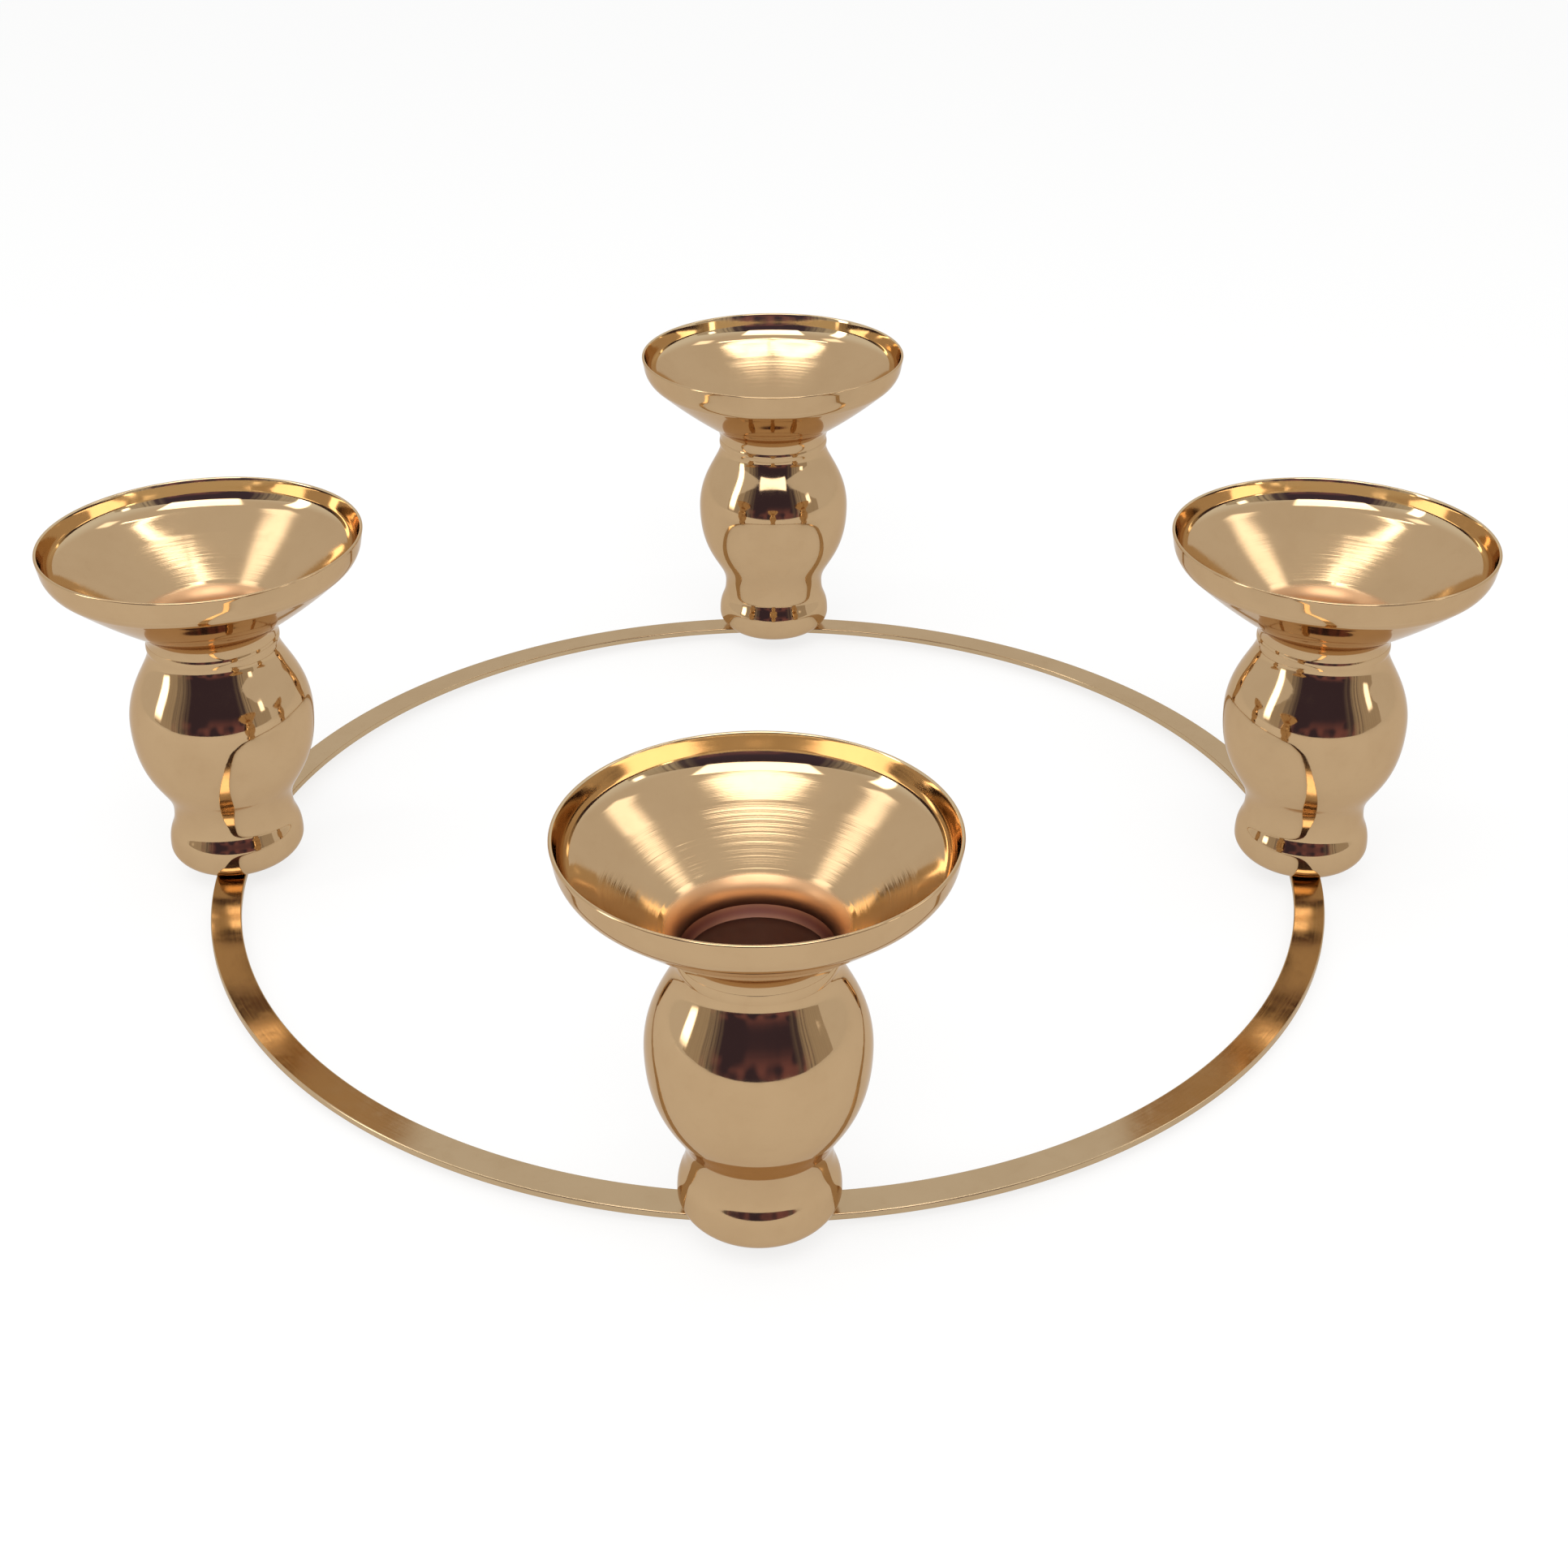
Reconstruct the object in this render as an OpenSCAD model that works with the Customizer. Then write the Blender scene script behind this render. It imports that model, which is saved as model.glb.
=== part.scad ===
/* [Ring] */
// Diameter of the strip's centreline, on which the four holders stand
ring_d = 218; // [180:1:300]
// Width of the flat strip
strip_w = 5.9; // [5:0.1:9]
// Thickness of the flat strip
strip_t = 1.3; // [1:0.1:3]

/* [Cup] */
// Diameter of the candle that the socket takes
candle_d = 22; // [19:0.5:22.5]
// Radial clearance round the candle
candle_gap = 0.1; // [0.05:0.05:0.4]
// Length of the straight socket wall
socket_depth = 19; // [12:0.5:22]
// Wall of the spun cup
cup_wall = 0.6; // [0.4:0.05:0.65]
// Diameter of the dish over its rim
dish_d = 61.7; // [58:0.1:66]
// Height of the cup from the neck seam to the rim
cup_h = 22.7; // [22:0.1:25]
// Height of the steep lip round the dish
lip_h = 5; // [4:0.1:6]
// Slope of the lip from the horizontal
lip_slope = 80; // [74:1:82]
// Outer radius of the bend between the lip and the dish's cone
crease_bend = 6; // [4:0.1:7]
// Height of the straight collar that sits on the body
collar_h = 1.8; // [1:0.1:2]
// How far the collar stands out past the body's neck
collar_proud = 0.1; // [0.05:0.05:0.2]
// Radius of the hollow bend from the neck into the dish
neck_bend = 4.8; // [4:0.1:6]

/* [Body] */
// Height of the body from the strip to the neck seam
body_h = 47.9; // [46:0.1:54]
// Wall of the hollow body
body_wall = 0.8; // [0.5:0.05:0.85]
// Radial clearance between the socket and the body's neck
neck_gap = 0.2; // [0.1:0.05:0.25]
// Largest diameter of the ball
ball_d = 35.8; // [34:0.1:40]
// Height of the ball's widest place above the strip
ball_z = 32; // [30:0.1:34]
// Diameter of the waist
waist_d = 23.6; // [21:0.1:24]
// Height of the waist above the strip
waist_z = 12.2; // [11:0.1:14]
// Largest diameter of the foot
foot_d = 26.6; // [25:0.1:30]
// Height of the foot's widest place above the strip
foot_z = 4.1; // [4:0.1:6]
// Diameter of the flat that the foot stands on
seat_d = 17; // [15:0.1:19]
// Diameter of the hole that the turned-in lower edge leaves
mouth_d = 12; // [8:0.1:13]

/* [Base disc] */
// Diameter of the disc inside the foot
disc_d = 16.4; // [14:0.1:16.6]
// Thickness of the disc
disc_t = 1.2; // [0.8:0.1:2]

/* [Fixings] */
// Diameter of the fixing screw
screw_d = 3; // [2.5:0.1:3]
// Radial clearance of the holes round the screw
screw_gap = 0.15; // [0.1:0.05:0.3]
// Diameter of the screw head
head_d = 5.6; // [5:0.1:5.8]
// Height of the screw head
head_h = 2.2; // [1.6:0.1:3]
// Radius of the head's rounded edge
head_round = 0.8; // [0.4:0.1:1.2]
// Diameter of the washer
washer_d = 7; // [6.4:0.1:7.4]
// Thickness of the washer
washer_t = 0.5; // [0.3:0.1:0.8]
// Width of the nut across its flats
nut_w = 5.5; // [5:0.1:5.6]
// Height of the nut
nut_h = 2.4; // [1.8:0.1:2.6]
// How far the screw ends above the nut
screw_proud = 0.5; // [0.2:0.1:0.8]
// Radial room in the well round the washer
well_gap = 0.7; // [0.4:0.1:1]
// Room in the well above the screw's end
well_room = 0.4; // [0.2:0.1:1]

/* [Hidden] */
$fn = 96;
// Steps on each bend, and on each curve of the body
bend_steps = 12;
curve_steps = 14;
// Radial clearance between the screw and the nut, in place of the thread
thread_gap = 0.02;
// Radius of the socket's lower outer corner
socket_round = 1.2;
// How far every cut runs past the solid
over = 1;

// Lengths of the curve handles, as shares of each stretch's height
neck_share = 0.22;
ball_up_share = 0.52;
ball_down_share = 0.64;
waist_up_share = 0.29;
waist_down_share = 0.4;
foot_up_share = 0.4;
// The foot's lower curve, as shares of its height and of its width
foot_down_share = 0.5;
seat_share = 0.5;

// Levels above the surface that the object stands on
strip_bottom = head_h;
strip_top = strip_bottom + strip_t;
seam_z = strip_top + body_h;
rim_z = seam_z + cup_h;
ledge_z = seam_z - socket_depth;
well_depth = washer_t + nut_h + screw_proud + well_room;
well_z = ledge_z - well_depth;
nut_z = well_z + washer_t;
screw_top = nut_z + nut_h + screw_proud;
disc_z = strip_top + body_wall;

// Radii of the socket, the neck and the fixings
ring_r = ring_d / 2;
bore_r = candle_d / 2 + candle_gap;
socket_r = bore_r + cup_wall;
neck_in_r = socket_r + neck_gap;
neck_r = neck_in_r + body_wall;
collar_r = neck_r + collar_proud;
screw_r = screw_d / 2;
hole_r = screw_r + screw_gap;
well_r = washer_d / 2 + well_gap;

// The dish's outline runs down the lip to the crease. From there the cone goes straight to the
// bend that turns into the upright neck, and touches it.
rim_centre = [dish_d / 2, rim_z] - cup_wall / 2 * [1, 1];
lip_end = rim_centre + cup_wall / 2 * [sin(lip_slope), -cos(lip_slope)];
crease_z = rim_z - lip_h;
crease = [lip_end[0] - (lip_end[1] - crease_z) / tan(lip_slope), crease_z];
neck_centre = [neck_r + neck_bend, seam_z + collar_h];
cone_run = crease - neck_centre;
cone_slope = atan2(cone_run[1], cone_run[0]) - asin(neck_bend / norm(cone_run));
bend_angle = 90 - cone_slope;

// Angles of the four holders, seen from above
front = -90;
right = 0;
back = 90;
left = 180;
places = [front, right, back, left];

// A point at a distance r and an angle a from a centre
function polar(centre, r, a) = centre + r * [cos(a), sin(a)];

// An arc from angle a0 to angle a1
function arc(centre, r, a0, a1, steps) =
    [for (i = [0:steps]) polar(centre, r, a0 + (a1 - a0) * i / steps)];

// A cubic curve without its first point
function curve(p0, p1, p2, p3, steps) =
    [for (i = [1:steps]) let (t = i / steps, s = 1 - t)
        s * s * s * p0 + 3 * s * s * t * p1 + 3 * s * t * t * p2 + t * t * t * p3];

// The direction across a stretch, to the left of its run
function across(a, b) = [a[1] - b[1], b[0] - a[0]] / norm(b - a);

// The same line, moved sideways to its left by d
function beside(line, d) = let (last = len(line) - 1)
    [for (i = [0:last]) let (
        n0 = across(line[max(i - 1, 0)], line[max(i, 1)]),
        n1 = across(line[min(i, last - 1)], line[min(i + 1, last)]))
        line[i] + d * (n0 + n1) / (1 + n0 * n1)];

function backwards(line) = [for (i = [len(line) - 1:-1:0]) line[i]];

// Places a holder's piece on the ring, or one on each place
module at_place(angle) {
    translate(polar([0, 0], ring_r, angle)) children();
}
module at_each_place() {
    for (angle = places) at_place(angle) children();
}

// Flat strip ring, with a hole under each holder
module ring() {
    color([0.77, 0.65, 0.49])
    difference() {
        translate([0, 0, strip_bottom])
            cylinder(h = strip_t, r = ring_r + strip_w / 2);
        translate([0, 0, strip_bottom - over])
            cylinder(h = strip_t + 2 * over, r = ring_r - strip_w / 2);
        at_each_place()
            translate([0, 0, strip_bottom - over])
                cylinder(h = strip_t + 2 * over, r = hole_r);
    }
}

// Centre of the bend at the crease, which touches the cone and the lip
crease_turn = lip_slope - cone_slope;
crease_centre = crease - crease_bend * tan(crease_turn / 2) * [cos(cone_slope), sin(cone_slope)]
    + crease_bend * [-sin(cone_slope), cos(cone_slope)];

// Outside of the dish, from the top of the collar up to the lip
dish_outside = concat(
    arc(neck_centre, neck_bend, 180, 180 - bend_angle, bend_steps),
    arc(crease_centre, crease_bend, cone_slope - 90, lip_slope - 90, bend_steps));

// Inside of the dish, a wall's thickness away, from the lip down to the throat
dish_inside = concat(
    arc(crease_centre, crease_bend - cup_wall, lip_slope - 90, cone_slope - 90, bend_steps),
    arc(neck_centre, neck_bend + cup_wall, 180 - bend_angle, 180, bend_steps));

// Half round on the rim's edge
rim_edge = arc(rim_centre, cup_wall / 2, lip_slope - 90, lip_slope + 90, bend_steps);

// One cup: the dish, its collar, the candle socket and the well for the nut
module cup(angle) {
    socket_corner = [socket_r - socket_round, ledge_z - cup_wall + socket_round];
    outline = concat(
        [[hole_r, well_z - cup_wall], [well_r + cup_wall, well_z - cup_wall],
         [well_r + cup_wall, ledge_z - cup_wall]],
        arc(socket_corner, socket_round, -90, 0, 6),
        [[socket_r, seam_z], [collar_r, seam_z], [collar_r, seam_z + collar_h]],
        dish_outside, rim_edge, dish_inside,
        [[bore_r, seam_z], [bore_r, ledge_z], [well_r, ledge_z], [well_r, well_z], [hole_r, well_z]]);
    color([0.79, 0.66, 0.48])
    at_place(angle)
        rotate_extrude() polygon(outline);
}

// Outside of the body from the neck seam down to the turned-in edge
ball_top = seam_z - strip_top - ball_z;
ball_drop = ball_z - waist_z;
waist_drop = waist_z - foot_z;
neck_point = [neck_r, seam_z];
ball_point = [ball_d / 2, strip_top + ball_z];
waist_point = [waist_d / 2, strip_top + waist_z];
foot_point = [foot_d / 2, strip_top + foot_z];
seat_point = [seat_d / 2, strip_top];
body_outside = concat(
    [neck_point],
    curve(neck_point, neck_point - [0, neck_share * ball_top],
        ball_point + [0, ball_up_share * ball_top], ball_point, curve_steps),
    curve(ball_point, ball_point - [0, ball_down_share * ball_drop],
        waist_point + [0, waist_up_share * ball_drop], waist_point, curve_steps),
    curve(waist_point, waist_point - [0, waist_down_share * waist_drop],
        foot_point + [0, foot_up_share * waist_drop], foot_point, curve_steps),
    curve(foot_point, foot_point - [0, foot_down_share * foot_z],
        seat_point + [seat_share * (foot_d - seat_d) / 2, 0], seat_point, curve_steps),
    [[mouth_d / 2, strip_top]]);

// One body: a hollow ball, waist and foot of one wall
module shell(angle) {
    color([0.76, 0.62, 0.45])
    at_place(angle)
        rotate_extrude()
            polygon(concat(body_outside, backwards(beside(body_outside, -body_wall))));
}

// One disc that lies on the turned-in edge inside the foot
module base_disc(angle) {
    color([0.62, 0.55, 0.42])
    at_place(angle)
        translate([0, 0, disc_z])
            difference() {
                cylinder(h = disc_t, r = disc_d / 2);
                translate([0, 0, -over]) cylinder(h = disc_t + 2 * over, r = hole_r);
            }
}

// Four screws: a round-edged head under the strip and a shank up to the nut
module fixing_screws() {
    head_r = head_d / 2;
    outline = concat(
        [[0, 0]],
        arc([head_r - head_round, head_round], head_round, -90, 0, 6),
        [[head_r, head_h], [screw_r, head_h], [screw_r, screw_top], [0, screw_top]]);
    color([0.72, 0.72, 0.74])
    at_each_place()
        rotate_extrude() polygon(outline);
}

// Four washers on the floors of the wells
module socket_washers() {
    color([0.75, 0.75, 0.77])
    at_each_place()
        translate([0, 0, well_z])
            difference() {
                cylinder(h = washer_t, r = washer_d / 2);
                translate([0, 0, -over]) cylinder(h = washer_t + 2 * over, r = hole_r);
            }
}

// Four hexagon nuts on the washers
module socket_nuts() {
    color([0.7, 0.7, 0.72])
    at_each_place()
        translate([0, 0, nut_z])
            difference() {
                cylinder(h = nut_h, r = nut_w / 2 / cos(30), $fn = 6);
                translate([0, 0, -over]) cylinder(h = nut_h + 2 * over, r = screw_r + thread_gap);
            }
}

ring();
cup(front);  // cup_front
cup(right);  // cup_right
cup(back);  // cup_back
cup(left);  // cup_left
shell(front);  // body_front
shell(right);  // body_right
shell(back);  // body_back
shell(left);  // body_left
base_disc(front);  // base_disc_front
base_disc(right);  // base_disc_right
base_disc(back);  // base_disc_back
base_disc(left);  // base_disc_left
fixing_screws();
socket_washers();
socket_nuts();
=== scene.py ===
import math

import bpy
from mathutils import Matrix, Vector


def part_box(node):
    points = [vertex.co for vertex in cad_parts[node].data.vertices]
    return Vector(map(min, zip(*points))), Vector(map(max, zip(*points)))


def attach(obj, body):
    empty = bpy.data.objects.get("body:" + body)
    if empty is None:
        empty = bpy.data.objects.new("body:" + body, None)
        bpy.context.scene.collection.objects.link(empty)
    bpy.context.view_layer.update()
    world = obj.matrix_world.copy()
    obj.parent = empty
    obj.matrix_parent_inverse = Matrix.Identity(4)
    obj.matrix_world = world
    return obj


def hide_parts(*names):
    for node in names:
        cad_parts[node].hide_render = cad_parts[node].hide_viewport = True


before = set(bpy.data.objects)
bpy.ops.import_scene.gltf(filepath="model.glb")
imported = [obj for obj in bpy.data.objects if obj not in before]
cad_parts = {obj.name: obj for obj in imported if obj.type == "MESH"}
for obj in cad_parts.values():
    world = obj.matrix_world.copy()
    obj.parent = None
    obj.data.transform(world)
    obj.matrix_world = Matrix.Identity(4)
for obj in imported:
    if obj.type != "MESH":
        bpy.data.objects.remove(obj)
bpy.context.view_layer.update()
mm = 0.001

# The photographer's camera. It stands low in front of the table and looks down at about 26
# degrees. The picture is cut from a larger one, so the lens points a little above its middle.
camera_place = Vector((6.1, -391.7, 243.4)) * mm
look_down = math.radians(26.17)
look_aside = math.radians(-0.41)
camera_roll = math.radians(-0.12)
picture_width = 1932
lens_centre = 794.6
focal_pixels = 2736
sensor_width = 36.0
nearest_seen = 10 * mm
farthest_seen = 20.0

bpy.ops.object.camera_add(location=camera_place)
camera = bpy.context.object
camera.name = "photo_camera"
camera.data.sensor_width = sensor_width
camera.data.lens = sensor_width * focal_pixels / picture_width
camera.data.shift_y = (lens_centre - picture_width / 2) / picture_width
camera.data.clip_start = nearest_seen
camera.data.clip_end = farthest_seen
view_line = Vector((
    math.sin(look_aside) * math.cos(look_down),
    math.cos(look_aside) * math.cos(look_down),
    -math.sin(look_down)))
level = view_line.to_track_quat("-Z", "Y").to_matrix()
camera.rotation_euler = (level @ Matrix.Rotation(camera_roll, 3, "Z")).to_euler()
bpy.context.scene.camera = camera

# The white sweep that the holder stands on. It is plain matt board, bright enough to print white,
# and it keeps a soft shadow under the feet. Metal mirrors it a little darker than it looks.
board_size = 6.0
board_white = (0.93, 0.93, 0.92, 1)
board_glow_share = 0.78
board_glow_seen = 1.0
board_glow_mirrored = 0.72


class Wire:
    """An output in a material's node tree, on which sums are written as on a number."""

    def __init__(self, socket):
        self.socket = socket

    def node(self, kind, settings=None, inputs=None, out=0):
        """A new node in the same tree, with its settings and inputs, as one of its outputs."""
        tree = self.socket.id_data
        made = tree.nodes.new(kind)
        for name, value in (settings or {}).items():
            setattr(made, name, value)
        for name, value in (inputs or {}).items():
            if isinstance(value, Wire):
                tree.links.new(value.socket, made.inputs[name])
            else:
                made.inputs[name].default_value = value
        return Wire(made.outputs[out])

    def sum(self, operation, first, second=0.0):
        return self.node("ShaderNodeMath", {"operation": operation}, {0: first, 1: second})

    def __add__(self, other):
        return self.sum("ADD", self, other)

    __radd__ = __add__

    def __sub__(self, other):
        return self.sum("SUBTRACT", self, other)

    def __rsub__(self, other):
        return self.sum("SUBTRACT", other, self)

    def __mul__(self, other):
        return self.sum("MULTIPLY", self, other)

    __rmul__ = __mul__

    def larger(self, other):
        return self.sum("MAXIMUM", self, other)

    def smaller(self, other):
        return self.sum("MINIMUM", self, other)

    def size(self):
        """The number without its sign."""
        return self.sum("ABSOLUTE", self)

    def root(self):
        return self.sum("SQRT", self)

    def step(self, low, high):
        """0 below low, 1 above high, and smooth between them."""
        return self.node(
            "ShaderNodeMapRange", {"interpolation_type": "SMOOTHSTEP"},
            {"Value": self, "From Min": low, "From Max": high, "To Min": 0.0, "To Max": 1.0})

    def blend(self, first, second):
        """A colour between two, by this factor."""
        return self.node(
            "ShaderNodeMix", {"data_type": "RGBA"}, {"Factor": self, 6: first, 7: second}, out=2)

    def noise(self, size, detail):
        """Soft patches of about this size over a place."""
        return self.node(
            "ShaderNodeTexNoise", {}, {"Vector": self, "Scale": 1.0 / size, "Detail": detail})

    def lines(self, size, detail):
        """Uneven lines of about this width along a number, such as a radius."""
        return self.node(
            "ShaderNodeTexNoise", {"noise_dimensions": "1D"},
            {"W": self, "Scale": 1.0 / size, "Detail": detail})

    def part(self, axis):
        """One of the three numbers of a place, X, Y or Z."""
        return self.node("ShaderNodeSeparateXYZ", {}, {0: self}, out=axis)

    def place_sum(self, operation, other, out=0):
        """A sum of a whole place with three numbers."""
        return self.node(
            "ShaderNodeVectorMath", {"operation": operation}, {0: self, 1: other}, out=out)

    def across(self, axis):
        """The level distance of a place from an upright axis."""
        level_part = self.place_sum("SUBTRACT", (*axis, 0)).place_sum("MULTIPLY", (1, 1, 0))
        return level_part.place_sum("LENGTH", (0, 0, 0), out="Value")


def seen_by(tree, kind):
    """1 for light of one kind, such as Camera or Glossy, and 0 for other light."""
    path = tree.nodes.new("ShaderNodeLightPath")
    return Wire(path.outputs[f"Is {kind} Ray"])


bpy.ops.mesh.primitive_plane_add(size=board_size, location=(0, 0, 0))
board = bpy.context.object
board.name = "white_board"
board_finish = bpy.data.materials.new("white_board")
board_finish.use_nodes = True
board.data.materials.append(board_finish)
board_tree = board_finish.node_tree
board_tree.nodes.clear()
matt = board_tree.nodes.new("ShaderNodeBsdfDiffuse")
matt.inputs["Color"].default_value = board_white
glow = board_tree.nodes.new("ShaderNodeEmission")
in_view = seen_by(board_tree, "Camera")
brightness = in_view * (board_glow_seen - board_glow_mirrored) + board_glow_mirrored
board_tree.links.new(brightness.socket, glow.inputs["Strength"])
glow_share = (in_view + seen_by(board_tree, "Glossy")) * board_glow_share
mixed = glow_share.node(
    "ShaderNodeMixShader", {}, {0: glow_share, 1: Wire(matt.outputs[0]), 2: Wire(glow.outputs[0])})
board_out = board_tree.nodes.new("ShaderNodeOutputMaterial")
board_tree.links.new(mixed.socket, board_out.inputs["Surface"])

# The light tent. White walls all round give the metal its even tone, and the tent's open front
# shows as the dark patch that each polished ball mirrors. Soft warm shades lie in that dark.
tent_white = (1.0, 1.0, 1.0, 1)
tent_light = 0.85
tent_seen = 0.95
tent_mirrored = 0.742
opening_distance = 0.72
opening_half_width = 3.0
opening_height = 0.66
opening_core = 0.60
opening_fold = 0.11
opening_patch = 0.26
opening_dark = (0.055, 0.041, 0.072, 1)
opening_warm = (0.27, 0.125, 0.148, 1)
opening_pale = (0.48, 0.44, 0.39, 1)

world = bpy.data.worlds.new("light_tent")
bpy.context.scene.world = world
world.use_nodes = True
sky = world.node_tree
sky.nodes.clear()
wall = sky.nodes.new("ShaderNodeBackground")
wall.inputs["Color"].default_value = tent_white
strength = (
    seen_by(sky, "Camera") * (tent_seen - tent_light) + tent_light
    - seen_by(sky, "Glossy") * (tent_light - tent_mirrored))
sky.links.new(strength.socket, wall.inputs["Strength"])
sky_out = sky.nodes.new("ShaderNodeOutputWorld")
sky.links.new(wall.outputs[0], sky_out.inputs["Surface"])

bpy.ops.mesh.primitive_plane_add(
    size=1, location=(0, -opening_distance, opening_height / 2), rotation=(math.radians(90), 0, 0))
opening = bpy.context.object
opening.name = "tent_opening"
opening.scale = (2 * opening_half_width, opening_height, 1)
opening.visible_camera = False
opening.visible_diffuse = False
opening.visible_shadow = False
opening_finish = bpy.data.materials.new("tent_opening")
opening_finish.use_nodes = True
opening.data.materials.append(opening_finish)
opening_tree = opening_finish.node_tree
opening_tree.nodes.clear()
dusk = opening_tree.nodes.new("ShaderNodeEmission")
beyond = Wire(opening_tree.nodes.new("ShaderNodeTexCoord").outputs["Object"])
shades = beyond.place_sum("MULTIPLY", (2 * opening_half_width, opening_height, 1.0))
low_part = 1 - beyond.part("Y").step(-0.40, -0.05)
warmth = shades.noise(opening_patch, 1.0).step(0.42, 0.62) * low_part * 0.8
sideways = shades.part("X")
outward = sideways.size()
folds = sideways.lines(opening_fold, 2.0).step(0.40, 0.60)
folds_reach = outward.step(opening_core * 0.7, opening_core * 1.2)
ends = outward.step(opening_core * 0.75, opening_core * 2.2)
veil = (ends * 0.9 + folds * folds_reach * 0.6).smaller(1.0)
depth = veil.blend(warmth.blend(opening_dark, opening_warm), opening_pale)
opening_tree.links.new(depth.socket, dusk.inputs["Color"])
opening_out = opening_tree.nodes.new("ShaderNodeOutputMaterial")
opening_tree.links.new(dusk.outputs[0], opening_out.inputs["Surface"])

# The lamps. Flat softboxes stand round the tent, as in a studio for metal: a tall one at the left,
# a wide one over the front, two narrow bars overhead and three small ones. Their edges fade, so
# that the highlights in the polish end softly.


def softbox(name, place, aim, width, height, watts, soft, turned=0.0):
    """A flat studio lamp that points at a place and fades over the soft share of its sides."""
    bpy.ops.object.light_add(type="AREA", location=place)
    lamp = bpy.context.object
    lamp.name = name
    lamp.data.shape = "RECTANGLE"
    lamp.data.size = width
    lamp.data.size_y = height
    lamp.data.energy = watts
    lamp.rotation_euler = (Vector(aim) - Vector(place)).to_track_quat("-Z", "Y").to_euler()
    lamp.rotation_euler.rotate_axis("Z", math.radians(turned))
    lamp.data.use_nodes = True
    tree = lamp.data.node_tree
    cloth = Wire(tree.nodes.new("ShaderNodeNewGeometry").outputs["Parametric"])
    fade = 1
    for side in ("X", "Y"):
        share = cloth.part(side)
        fade = share.step(0.0, soft) * (1 - share.step(1 - soft, 1.0)) * fade
    tree.links.new(fade.socket, tree.nodes["Emission"].inputs["Strength"])


softbox(
    "strip_lamp", place=(-0.80, -0.24, 0.33), aim=(0, 0, 0.03),
    width=0.20, height=0.64, watts=1.72, soft=0.22)
softbox(
    "front_lamp", place=(0.0, -0.490, 0.660), aim=(0, -0.083, 0.066),
    width=0.74, height=0.42, watts=2.97, soft=0.06)
for name, aside, turned in (("overhead_left", -0.235, -18), ("overhead_right", 0.235, 18)):
    softbox(
        name, place=(aside, 0.029, 0.95), aim=(aside, 0.029, 0.0),
        width=0.58, height=0.068, watts=0.48, soft=0.06, turned=turned)
softbox(
    "left_lamp", place=(-0.48, 0.0, 0.638), aim=(0, -0.1, 0.07),
    width=0.22, height=0.26, watts=0.27, soft=0.3)
softbox(
    "right_lamp", place=(0.512, 0.092, 0.583), aim=(0, -0.1, 0.07),
    width=0.22, height=0.26, watts=0.27, soft=0.3)
softbox(
    "fill_lamp", place=(0.78, -0.34, 0.30), aim=(0, 0, 0.03),
    width=0.14, height=0.20, watts=0.23, soft=0.3)

# The ring. It is one flat strip of plated brass, stamped to a circle, with its edges broken by a
# fine bevel and its top polished. The four holders are screwed to it.
strip_low, strip_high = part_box("ring")
strip_outer = strip_high.x
strip_width = 5.9 * mm
strip_bevel = 0.22 * mm
strip_bevel_steps = 3
ring_steps = 512
weld_distance = 0.002 * mm
cloud_size = 9 * mm
smudge_size = 2.4 * mm
rolling_size = 0.35 * mm
strip_gloss = 0.13
strip_relief = 0.02 * mm
strip_light = (0.608, 0.442, 0.262, 1)
strip_deep = (0.506, 0.346, 0.186, 1)
gold_edge = (0.88, 0.79, 0.70, 1)


def start_piece():
    """Nothing else is selected when a new piece is begun."""
    if bpy.context.object and bpy.context.object.mode != "OBJECT":
        bpy.ops.object.mode_set(mode="OBJECT")
    bpy.ops.object.select_all(action="DESELECT")


def draw_loop(radius, centre, height, steps):
    """A plain circle of edges at its place, open for editing, with its origin at the world's."""
    bpy.ops.mesh.primitive_circle_add(
        vertices=steps, radius=radius, fill_type="NOTHING", location=(centre[0], centre[1], height))
    bpy.ops.object.transform_apply(location=True)
    bpy.ops.object.mode_set(mode="EDIT")
    bpy.ops.mesh.select_all(action="SELECT")


def draw_on(outline, centre):
    """Extrudes the selected loop along an outline of radius and height, as on a lathe."""
    for (r0, z0), (r1, z1) in zip(outline, outline[1:]):
        bpy.ops.mesh.extrude_region_move(TRANSFORM_OT_translate={"value": (0, 0, z1 - z0)})
        bpy.ops.transform.resize(
            value=(r1 / r0, r1 / r0, 1), center_override=(centre[0], centre[1], z1))


def turn_piece(outline, centre, steps, smooth_angle):
    """A closed ring of an outline: welded, faces outwards, smooth but for sharper corners."""
    start_piece()
    draw_loop(outline[0][0], centre, outline[0][1], steps)
    draw_on(outline, centre)
    bpy.ops.mesh.select_all(action="SELECT")
    bpy.ops.mesh.remove_doubles(threshold=weld_distance)
    bpy.ops.mesh.normals_make_consistent(inside=False)
    bpy.ops.object.mode_set(mode="OBJECT")
    bpy.ops.object.shade_smooth_by_angle(angle=math.radians(smooth_angle))


def finish_piece(name, slot, finish, *nodes):
    """Ends a piece: it takes its name and metal, rides on the body and stands for its nodes."""
    piece = bpy.context.object
    piece.name = name
    piece.data.name = name
    piece.data.materials.append(finish)
    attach(piece, "root")
    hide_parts(*nodes)
    return piece


def metal(name):
    """A bare metal finish: its node tree, its shader and the place on the piece."""
    finish = bpy.data.materials.new(name)
    finish.use_nodes = True
    tree = finish.node_tree
    shader = tree.nodes["Principled BSDF"]
    shader.inputs["Metallic"].default_value = 1.0
    return finish, tree, shader, Wire(tree.nodes.new("ShaderNodeTexCoord").outputs["Object"])


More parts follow.
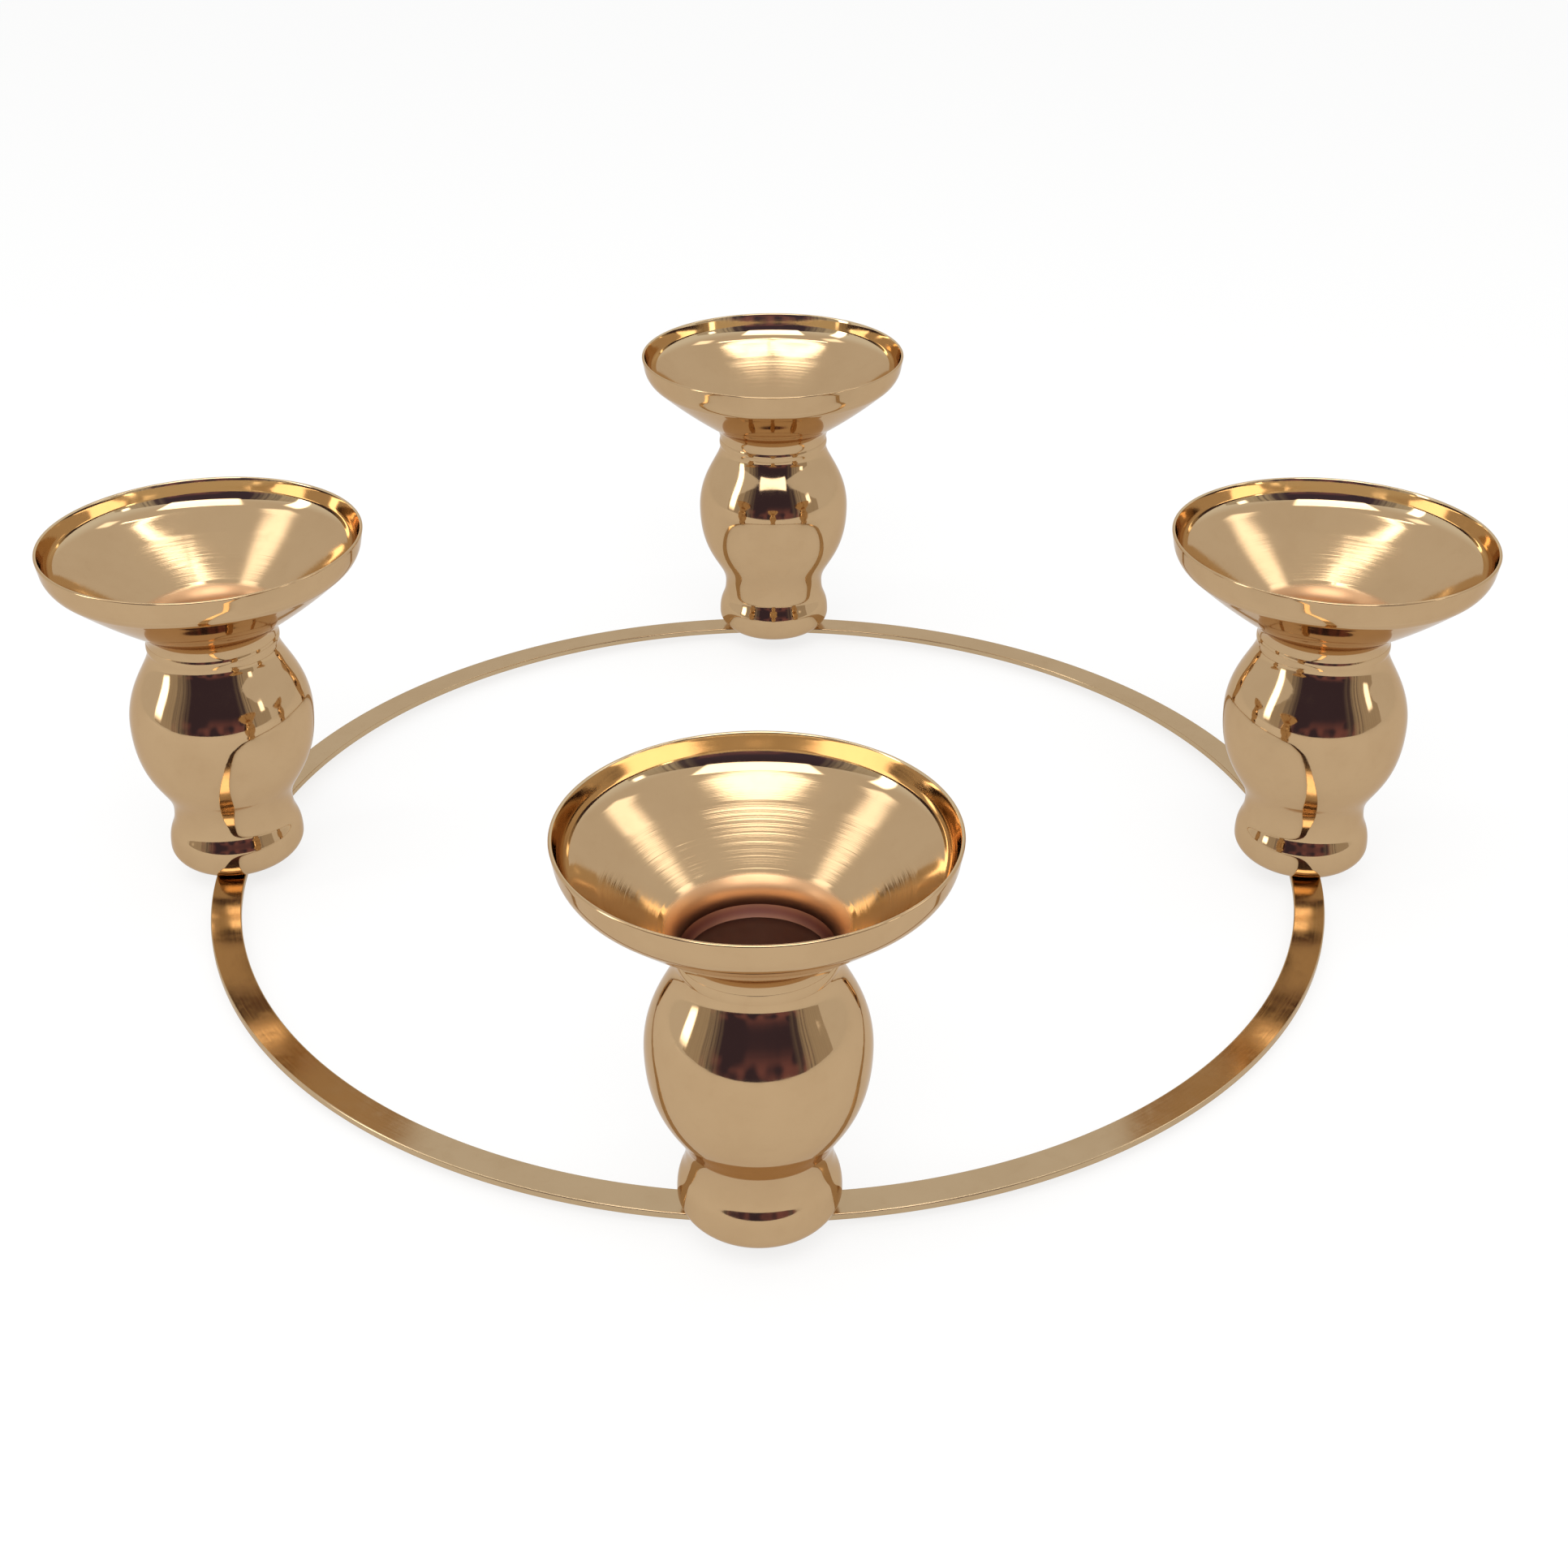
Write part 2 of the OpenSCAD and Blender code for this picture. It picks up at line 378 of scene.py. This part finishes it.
def surface(tree, shader, colour, gloss, height, reach):
    """Joins a colour, a roughness and a relief of a given depth to the shader."""
    tree.links.new(colour.socket, shader.inputs["Base Color"])
    tree.links.new(gloss.socket, shader.inputs["Roughness"])
    relief = height.node(
        "ShaderNodeBump", {}, {"Height": height, "Distance": reach}, out="Normal")
    tree.links.new(relief.socket, shader.inputs["Normal"])


def plate_marks(place, smudge_tint):
    """The wide clouds and small smudges on polished plate, and how far they deepen its tone."""
    cloud = place.noise(cloud_size, 4.0)
    smudge = place.noise(smudge_size, 5.0)
    return cloud, smudge, cloud.step(0.35, 0.7) * 0.25 + smudge.step(0.5, 0.75) * smudge_tint


def ring_gold():
    """Champagne-gold plate on rolled strip: faint clouds, smudges and rolling lines along it."""
    finish, tree, shader, place = metal("ring_gold")
    cloud, smudge, tone = plate_marks(place, 0.15)
    rolled = place.across((0.0, 0.0)).lines(rolling_size, 3.0)
    gloss = strip_gloss + smudge.step(0.42, 0.72) * 0.05 + rolled.step(0.4, 0.7) * 0.04
    height = cloud * 0.5 + rolled * 0.05
    surface(tree, shader, tone.blend(strip_light, strip_deep), gloss, height, strip_relief)
    shader.inputs["Specular Tint"].default_value = gold_edge
    return finish


strip_inner = strip_outer - strip_width
turn_piece([
    (strip_inner, strip_low.z), (strip_outer, strip_low.z), (strip_outer, strip_high.z),
    (strip_inner, strip_high.z), (strip_inner, strip_low.z)],
    centre=(0, 0), steps=ring_steps, smooth_angle=30)
bevel = bpy.context.object.modifiers.new("broken_edge", "BEVEL")
bevel.width = strip_bevel
bevel.segments = strip_bevel_steps
bevel.limit_method = "ANGLE"
bpy.ops.object.modifier_apply(modifier="broken_edge")
bpy.ops.object.shade_smooth_by_angle(angle=math.radians(40))
finish_piece("ring_strip", "ring_metal", ring_gold(), "ring")

# The fixing screws. Four long M3 pan-head screws of zinc-plated steel come up through the strip,
# and their rounded heads with a cross recess are what the ring stands on.
holder_axes = {"front": (0, -1), "right": (1, 0), "back": (0, 1), "left": (-1, 0)}
other_places = ("right", "back", "left")
cup_low, cup_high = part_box("cup_front")
front_axis = (0.0, (cup_low.y + cup_high.y) / 2)
ring_radius = -front_axis[1]
screw_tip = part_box("fixing_screws")[1].z
head_radius = 2.8 * mm
head_height = 2.2 * mm
head_round = 0.8 * mm
head_middle = 0.02 * mm
shank_radius = 1.5 * mm
thread_root = 1.24 * mm
thread_pitch = 0.5 * mm
thread_start = 6.5 * mm
thread_end = screw_tip - 0.3 * mm
recess_width = 0.62 * mm
recess_length = 3.0 * mm
recess_depth = 1.3 * mm
screw_steps = 48
head_steps = 8
zinc_cloud = 1.4 * mm
zinc_grain = 0.12 * mm
zinc_gloss = 0.24
zinc_relief = 0.01 * mm
zinc_bright = (0.66, 0.67, 0.69, 1)
zinc_blue = (0.50, 0.54, 0.60, 1)


def bend(centre, radius, start, end, steps):
    """Points of an arc, with its angles in radians."""
    turns = [start + (end - start) * i / steps for i in range(steps + 1)]
    return [(centre[0] + radius * math.cos(a), centre[1] + radius * math.sin(a)) for a in turns]


def screw_outline():
    """A screw from its head's middle up to its tip, with its thread as rings one pitch apart."""
    outline = [(head_middle, 0.0)]
    outline += bend(
        (head_radius - head_round, head_round), head_round, -math.pi / 2, 0, head_steps)
    outline += [
        (head_radius, head_height), (shank_radius, head_height), (shank_radius, thread_start)]
    height = thread_start
    while height + thread_pitch < thread_end:
        outline += [
            (thread_root, height + 0.45 * thread_pitch),
            (thread_root, height + 0.55 * thread_pitch),
            (shank_radius, height + 0.95 * thread_pitch),
            (shank_radius, height + thread_pitch)]
        height += thread_pitch
    return outline + [(thread_root, screw_tip), (head_middle, screw_tip)]


def zinc_plate():
    """Bright zinc: bluish clouds and a fine crystal grain."""
    finish, tree, shader, place = metal("zinc_plate")
    cloud = place.noise(zinc_cloud, 3.0)
    grain = place.noise(zinc_grain, 3.0)
    tone = cloud.step(0.4, 0.65)
    gloss = zinc_gloss + grain.step(0.35, 0.75) * 0.16 + tone * 0.06
    surface(tree, shader, tone.blend(zinc_bright, zinc_blue), gloss, grain, zinc_relief)
    return finish


def make_active(piece):
    """The piece alone is selected, and the next commands work on it."""
    start_piece()
    piece.select_set(True)
    bpy.context.view_layer.objects.active = piece


def copy_at(piece, place_name):
    """An own copy of the front holder's piece at another holder."""
    make_active(piece)
    bpy.ops.object.duplicate()
    way = Vector(holder_axes[place_name]) * ring_radius - Vector(front_axis)
    bpy.ops.transform.translate(value=(way.x, way.y, 0))
    bpy.ops.object.transform_apply(location=True)
    return bpy.context.object


def at_each_holder():
    """Copies the piece at the front holder to the other three, as one object of four."""
    first = bpy.context.object
    made = [copy_at(first, place_name) for place_name in other_places]
    make_active(first)
    for piece in made:
        piece.select_set(True)
    bpy.ops.object.join()


start_piece()
outline = screw_outline()
draw_loop(outline[0][0], front_axis, outline[0][1], screw_steps)
draw_on(outline, front_axis)
bpy.ops.mesh.select_all(action="SELECT")
bpy.ops.mesh.remove_doubles(threshold=weld_distance)
bpy.ops.mesh.select_all(action="DESELECT")
bpy.ops.mesh.select_non_manifold()
bpy.ops.mesh.edge_face_add()
bpy.ops.mesh.select_all(action="SELECT")
bpy.ops.mesh.normals_make_consistent(inside=False)
bpy.ops.object.mode_set(mode="OBJECT")
screw = bpy.context.object
for turned in (0, 90):
    start_piece()
    bpy.ops.mesh.primitive_cube_add(
        size=1, location=(*front_axis, 0), rotation=(0, 0, math.radians(turned)))
    cutter = bpy.context.object
    cutter.scale = (recess_length, recess_width, 2 * recess_depth)
    recess_cut = screw.modifiers.new("cross_recess", "BOOLEAN")
    recess_cut.object = cutter
    recess_cut.solver = "EXACT"
    make_active(screw)
    bpy.ops.object.modifier_apply(modifier="cross_recess")
    make_active(cutter)
    bpy.ops.object.delete()
make_active(screw)
bpy.ops.object.shade_smooth_by_angle(angle=math.radians(35))
at_each_holder()
zinc = zinc_plate()
finish_piece("pan_head_screws", "screw_metal", zinc, "fixing_screws")

# The base discs. Each is turned from brass bar, lies on the turned-in edge inside a foot and
# centres the screw. It is bare metal, a little dull, because nobody sees it.
disc_low, disc_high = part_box("base_disc_front")
disc_radius = (disc_high.x - disc_low.x) / 2
disc_bevel = 0.15 * mm
disc_steps = 96
clearance_hole = 1.65 * mm
film_size = 2.2 * mm
tool_size = 0.16 * mm
disc_gloss = 0.30
disc_relief = 0.02 * mm
bare_brass = (0.52, 0.40, 0.20, 1)
dull_brass = (0.34, 0.24, 0.11, 1)


def flat_ring(inner, outer, low, high, edge):
    """A flat ring's outline with all four edges broken."""
    return [
        (inner, low + edge), (inner + edge, low), (outer - edge, low), (outer, low + edge),
        (outer, high - edge), (outer - edge, high), (inner + edge, high), (inner, high - edge),
        (inner, low + edge)]


def turned_brass():
    """Bare brass off the lathe: fine tool lines, and a patchy dull film."""
    finish, tree, shader, place = metal("turned_brass")
    film = place.noise(film_size, 4.0)
    tool = place.across((0.0, 0.0)).lines(tool_size, 2.0)
    tone = film.step(0.35, 0.7)
    gloss = disc_gloss + tone * 0.16 + tool * 0.08
    height = tool * 0.7 + film * 0.3
    surface(tree, shader, tone.blend(bare_brass, dull_brass), gloss, height, disc_relief)
    return finish


def copies(name, kind, slot, finish):
    """Copies the piece at the front holder to the other three, and finishes each of the four."""
    pieces = {"front": bpy.context.object}
    for place_name in other_places:
        pieces[place_name] = copy_at(pieces["front"], place_name)
    for place_name, piece in pieces.items():
        make_active(piece)
        finish_piece(f"{name}_{place_name}", slot, finish(place_name), f"{kind}_{place_name}")


disc_outline = flat_ring(clearance_hole, disc_radius, disc_low.z, disc_high.z, disc_bevel)
turn_piece(disc_outline, centre=front_axis, steps=disc_steps, smooth_angle=35)
disc_brass = turned_brass()
copies("turned_disc", "base_disc", "disc_metal", lambda place_name: disc_brass)

# The bodies. Each is one hollow shell of sheet brass, spun over a form into ball, waist and foot.
# Its lower edge is turned in flat where it stands on the strip, and the plating is polished.
body_low, body_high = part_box("body_front")
body_foot = body_low.z
seam_height = body_high.z
neck_radius = 12.7 * mm
ball_radius = (body_high.x - body_low.x) / 2
ball_height = body_foot + 32.0 * mm
waist_radius = 11.8 * mm
waist_height = body_foot + 12.2 * mm
foot_radius = 13.3 * mm
foot_height = body_foot + 4.1 * mm
seat_radius = 8.5 * mm
mouth_radius = 6.0 * mm
body_wall = 0.8 * mm
body_steps = 160
ball_top_steps, ball_low_steps, foot_steps = 34, 40, 24
neck_pull, ball_top_pull, ball_low_pull = 0.22, 0.52, 0.64
waist_pull, foot_pull, heel_pull = 0.29, 0.54, 0.5
ripple_size = 2.2 * mm
body_gloss = 0.045
polish_relief = 0.03 * mm
gold_light = (0.617, 0.422, 0.233, 1)
gold_deep = (0.525, 0.340, 0.177, 1)


def sweep(p0, p1, p2, p3, steps):
    """A cubic curve without its first point."""
    points = []
    for i in range(1, steps + 1):
        t = i / steps
        s = 1 - t
        weights = (s ** 3, 3 * s * s * t, 3 * s * t * t, t ** 3)
        points.append(tuple(
            sum(w * p[k] for w, p in zip(weights, (p0, p1, p2, p3))) for k in (0, 1)))
    return points


def beside(outline, distance):
    """The same outline, moved to its left side by a distance."""
    moved = []
    last = len(outline) - 1
    for i, (r, z) in enumerate(outline):
        across = Vector((0.0, 0.0))
        for a, b in ((max(i - 1, 0), max(i, 1)), (min(i, last - 1), min(i + 1, last))):
            run = (Vector(outline[b]) - Vector(outline[a])).normalized()
            across += Vector((-run.y, run.x))
        across = across / (across.length_squared / 2)
        moved.append((r + distance * across.x, z + distance * across.y))
    return moved


def upright_sweep(top, bottom, top_pull, bottom_pull, steps):
    """A curve between two places where the outline stands upright, pulled by shares of its drop."""
    drop = top[1] - bottom[1]
    return sweep(
        top, (top[0], top[1] - top_pull * drop), (bottom[0], bottom[1] + bottom_pull * drop),
        bottom, steps)


def body_outline():
    """The shell's outside from the neck down to its turned-in edge, and back up inside the wall."""
    neck = (neck_radius, seam_height)
    ball = (ball_radius, ball_height)
    waist = (waist_radius, waist_height)
    foot = (foot_radius, foot_height)
    seat = (seat_radius, body_foot)
    outside = [neck]
    outside += upright_sweep(neck, ball, neck_pull, ball_top_pull, ball_top_steps)
    outside += upright_sweep(ball, waist, ball_low_pull, waist_pull, ball_low_steps)
    outside += upright_sweep(waist, foot, foot_pull, foot_pull, foot_steps)
    outside += sweep(
        foot, (foot_radius, foot_height - heel_pull * (foot_height - body_foot)),
        (seat_radius + heel_pull * (foot_radius - seat_radius), body_foot), seat, foot_steps)
    outside.append((mouth_radius, body_foot))
    inside = beside(outside, -body_wall)
    return outside + inside[::-1] + outside[:1]


def polished_gold(name):
    """Polished champagne-gold plate: a faint ripple from spinning, clouds and smudges."""
    finish, tree, shader, place = metal(name)
    cloud, smudge, tone = plate_marks(place, 0.12)
    ripple = place.part("Z").lines(ripple_size, 2.0)
    gloss = body_gloss + smudge.step(0.42, 0.72) * 0.035 + cloud.step(0.45, 0.75) * 0.02
    height = cloud * 0.32 + smudge * 0.06 + ripple * 0.25
    surface(tree, shader, tone.blend(gold_light, gold_deep), gloss, height, polish_relief)
    shader.inputs["Specular Tint"].default_value = gold_edge
    return finish


turn_piece(body_outline(), centre=front_axis, steps=body_steps, smooth_angle=35)
body_gold = polished_gold("body_gold")
copies("spun_body", "body", "body_metal", lambda place_name: body_gold)

# The cups. Each is spun from one blank of sheet brass: a steep lip, a crease, a cone finished on
# the lathe, a throat and the candle socket. Its collar sits on the body at the seam.
rim_height = cup_high.z
rim_radius = (cup_high.x - cup_low.x) / 2
cup_wall = 0.6 * mm
lip_height = 5.0 * mm
lip_slope = math.radians(80)
crease_bend = 6.0 * mm
cone_belly = 0.3 * mm
neck_bend = 4.8 * mm
collar_height = 1.8 * mm
collar_swell = 0.16 * mm
collar_clear = 0.02 * mm
bore_radius = 11.1 * mm
socket_depth = 19.0 * mm
ledge_bend = 1.2 * mm
well_radius = 4.2 * mm
well_depth = 3.8 * mm
cup_steps = 192
collar_steps, neck_steps, cone_steps, crease_steps = 8, 24, 18, 20
lip_steps, rim_steps, ledge_steps = 4, 12, 6
hair_size = 0.35 * mm
coarse_turning = 0.55 * mm
fine_turning = 0.12 * mm
cup_gloss = 0.05
throat_dullness = 0.34
wall_side = (-0.45 * mm, -0.25 * mm)
neck_side = (0.2 * mm, 0.4 * mm)
lip_side = (-0.05 * mm, 0.12 * mm)
satin_start = (14.6 * mm, 15.2 * mm)
satin_end = (27.6 * mm, 28.6 * mm)
turned_end = (23.7 * mm, 24.3 * mm)
throat_end = (14.3 * mm, 15.0 * mm)
throat_top = (seam_height + 5.6 * mm, seam_height + 6.6 * mm)
socket_top = (seam_height + 0.5 * mm, seam_height + 5.2 * mm)
deep_top = (seam_height - 1.6 * mm, seam_height + 1.2 * mm)
lip_blend = 1.4 * mm
turning_depths = {"front": 1.0, "right": 0.4, "back": 0.4, "left": 0.4}
# The throat colour is painted crevice shade: a darker, redder gold where the polish mirrors itself.
throat_painted_shade = (0.634, 0.368, 0.192, 1)
# The lip colour is painted light: a paler gold that brightens the inner lip where it mirrors dark.
lip_painted_light = (0.74, 0.56, 0.34, 1)
# The socket colour is painted shade: a near-black purple in the socket's mouth, where the hole lies
# dark.
socket_painted_shade = (0.147, 0.062, 0.062, 1)
socket_deep = (0.50, 0.33, 0.26, 1)

rim_centre = Vector((rim_radius - cup_wall / 2, rim_height - cup_wall / 2))
lip_end = rim_centre + cup_wall / 2 * Vector((math.sin(lip_slope), -math.cos(lip_slope)))
crease_height = rim_height - lip_height
crease = Vector((lip_end.x - (lip_end.y - crease_height) / math.tan(lip_slope), crease_height))
neck_centre = Vector((neck_radius + neck_bend, seam_height + collar_height))
cone_run = crease - neck_centre
cone_slope = math.atan2(cone_run.y, cone_run.x) - math.asin(neck_bend / cone_run.length)
crease_centre = (
    crease - crease_bend * math.tan((lip_slope - cone_slope) / 2)
    * Vector((math.cos(cone_slope), math.sin(cone_slope)))
    + crease_bend * Vector((-math.sin(cone_slope), math.cos(cone_slope))))


def straight(start, end, steps):
    """The points between two others, without either."""
    return [tuple(a + (b - a) * i / steps for a, b in zip(start, end)) for i in range(1, steps)]


def bowed(start, end, steps):
    """The points between two others on a flat bow, which a sheet takes when it is spun."""
    run = Vector(end) - Vector(start)
    aside = Vector((run.y, -run.x)).normalized()
    if aside.y > 0:
        aside = -aside
    points = []
    for i in range(1, steps):
        share = i / steps
        place = Vector(start) + run * share + aside * cone_belly * 4 * share * (1 - share)
        points.append(tuple(place))
    return points


def cup_outline():
    """The cup's wall: outside from seam to rim, inside down to the well, and back to the seam."""
    upright = math.pi
    across_cone = math.pi / 2 + cone_slope
    cone_turn = cone_slope - math.pi / 2
    lip_turn = lip_slope - math.pi / 2
    collar = []
    for i in range(collar_steps + 1):
        share = i / collar_steps
        swell = collar_swell * math.sin(math.pi * share)
        collar.append((neck_radius + swell + collar_clear, seam_height + collar_height * share))
    neck = bend(neck_centre, neck_bend, upright, across_cone, neck_steps)
    corner = bend(crease_centre, crease_bend, cone_turn, lip_turn, crease_steps)
    edge = bend(rim_centre, cup_wall / 2, lip_turn, lip_turn + math.pi, rim_steps)
    inner_corner = bend(crease_centre, crease_bend - cup_wall, lip_turn, cone_turn, crease_steps)
    throat = bend(neck_centre, neck_bend + cup_wall, across_cone, upright, neck_steps)
    outline = collar + neck + bowed(neck[-1], corner[0], cone_steps) + corner
    outline += straight(corner[-1], edge[0], lip_steps) + edge
    outline += straight(edge[-1], inner_corner[0], lip_steps) + inner_corner
    outline += bowed(inner_corner[-1], throat[0], cone_steps) + throat
    ledge = seam_height - socket_depth
    well = ledge - well_depth
    outline += [
        (bore_radius, seam_height), (bore_radius, ledge), (well_radius, ledge),
        (well_radius, well), (clearance_hole, well), (clearance_hole, well - cup_wall),
        (well_radius + cup_wall, well - cup_wall), (well_radius + cup_wall, ledge - cup_wall)]
    ledge_centre = (bore_radius + cup_wall - ledge_bend, ledge - cup_wall + ledge_bend)
    outline += bend(ledge_centre, ledge_bend, -math.pi / 2, 0, ledge_steps)
    return outline + [(bore_radius + cup_wall, seam_height), outline[0]]


def inside_neck(height, radius):
    """1 on the inner side of the neck and its bend, 0 on the outer side."""
    up = (height - neck_centre.y).larger(0.0)
    out = neck_centre.x - radius
    bow = (up * up + out * out).root()
    return bow.step(neck_bend + neck_side[0], neck_bend + neck_side[1])


def cup_gold(place_name):
    """Gold as on the body, inside the dish the lathe's rings, centred on that holder, and painted
    shade and light.
    """
    finish, tree, shader, place = metal(f"cup_gold_{place_name}")
    axis = Vector(holder_axes[place_name]) * ring_radius
    radius = place.across((axis.x, axis.y))
    height = place.part("Z")
    cloud, smudge, tone = plate_marks(place, 0.12)
    hair = place.noise(hair_size, 2.0)
    coarse = radius.lines(coarse_turning, 4.0)
    fine = radius.lines(fine_turning, 2.0)

    # Where each finish and painted tone lies: the satin cone with its turned inner zone, the lip,
    # the throat and socket.
    slope = math.tan(cone_slope)
    middle = crease.y - crease.x * slope + cup_wall / 2 / math.cos(cone_slope)
    inside = (height - radius * slope).step(middle + wall_side[0], middle + wall_side[1])
    satin = inside * radius.step(*satin_start) * (1 - radius.step(*satin_end))
    turned = satin * (1 - radius.step(*turned_end))
    throat = (
        (1 - radius.step(*throat_end)) * (1 - height.step(*throat_top))
        * inside_neck(height, radius))
    socket = throat * (1 - height.step(*socket_top))
    deep = throat * (1 - height.step(*deep_top))
    lip_middle = crease.x - cup_wall / 2 + (height - crease_height) * (1 / math.tan(lip_slope))
    lip = (
        (lip_middle - radius).step(*lip_side)
        * height.step(crease_height, crease_height + lip_blend))

    # Painted crevice shade in the throat, painted light on the lip, and painted shade in the
    # socket's mouth.
    colour = throat.blend(tone.blend(gold_light, gold_deep), throat_painted_shade)
    colour = socket.blend(lip.blend(colour, lip_painted_light), socket_painted_shade)
    colour = deep.blend(colour, socket_deep)
    gloss = (
        cup_gloss + smudge.step(0.42, 0.72) * 0.03 + satin * (0.02 + hair * 0.02)
        + turned * 0.03 + throat * throat_dullness)
    turning = turned * turning_depths[place_name] * (coarse * 0.8 + fine * 0.16)
    relief = cloud * 0.28 + smudge * 0.05 + satin * fine * 0.08 + turning
    surface(tree, shader, colour, gloss, relief, polish_relief)
    shader.inputs["Specular Tint"].default_value = gold_edge
    return finish


turn_piece(cup_outline(), centre=front_axis, steps=cup_steps, smooth_angle=25)
copies("spun_cup", "cup", "cup_metal", cup_gold)

# The washers. One flat stamped washer of zinc-plated steel lies in the well below each socket and
# spreads the nut's pull over the thin cup.
washer_low, washer_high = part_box("socket_washers")
washer_radius = 3.5 * mm
washer_bevel = 0.06 * mm

turn_piece(
    flat_ring(clearance_hole, washer_radius, washer_low.z, washer_high.z, washer_bevel),
    centre=front_axis, steps=disc_steps, smooth_angle=35)
at_each_holder()
finish_piece("flat_washers", "screw_metal", zinc, "socket_washers")

# The nuts. A hexagon nut of zinc-plated steel on each washer clamps cup, body, disc and strip
# together. Its corners are chamfered, as on a bought nut.
nut_low, nut_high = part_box("socket_nuts")
nut_flat = 5.5 / 2 * mm
nut_corner = nut_flat / math.cos(math.radians(30))
nut_hole = 1.52 * mm
nut_lead = 0.22 * mm
nut_room = 0.05 * mm
nut_steps = 64
chamfer_drop = 0.3 * mm

chamfer_outer = nut_corner + nut_room
chamfer_inner = nut_flat - nut_room
turn_piece([
    (nut_hole, nut_low.z + nut_lead), (nut_hole + nut_lead, nut_low.z),
    (chamfer_inner, nut_low.z), (chamfer_outer, nut_low.z + chamfer_drop),
    (chamfer_outer, nut_high.z - chamfer_drop), (chamfer_inner, nut_high.z),
    (nut_hole + nut_lead, nut_high.z), (nut_hole, nut_high.z - nut_lead),
    (nut_hole, nut_low.z + nut_lead)],
    centre=front_axis, steps=nut_steps, smooth_angle=20)
chamfered = bpy.context.object
start_piece()
bpy.ops.mesh.primitive_cylinder_add(
    vertices=6, radius=nut_corner, depth=nut_high.z - nut_low.z,
    location=(*front_axis, (nut_low.z + nut_high.z) / 2), rotation=(0, 0, math.radians(30)))
bpy.ops.object.transform_apply(location=True, rotation=True)
nut = bpy.context.object
common = nut.modifiers.new("chamfer", "BOOLEAN")
common.operation = "INTERSECT"
common.object = chamfered
common.solver = "EXACT"
bpy.ops.object.modifier_apply(modifier="chamfer")
make_active(chamfered)
bpy.ops.object.delete()
make_active(nut)
bpy.ops.object.shade_smooth_by_angle(angle=math.radians(25))
at_each_holder()
finish_piece("hexagon_nuts", "screw_metal", zinc, "socket_nuts")

# The look of the finished picture, which shows colours as they are written.
bpy.context.scene.view_settings.view_transform = "Standard"
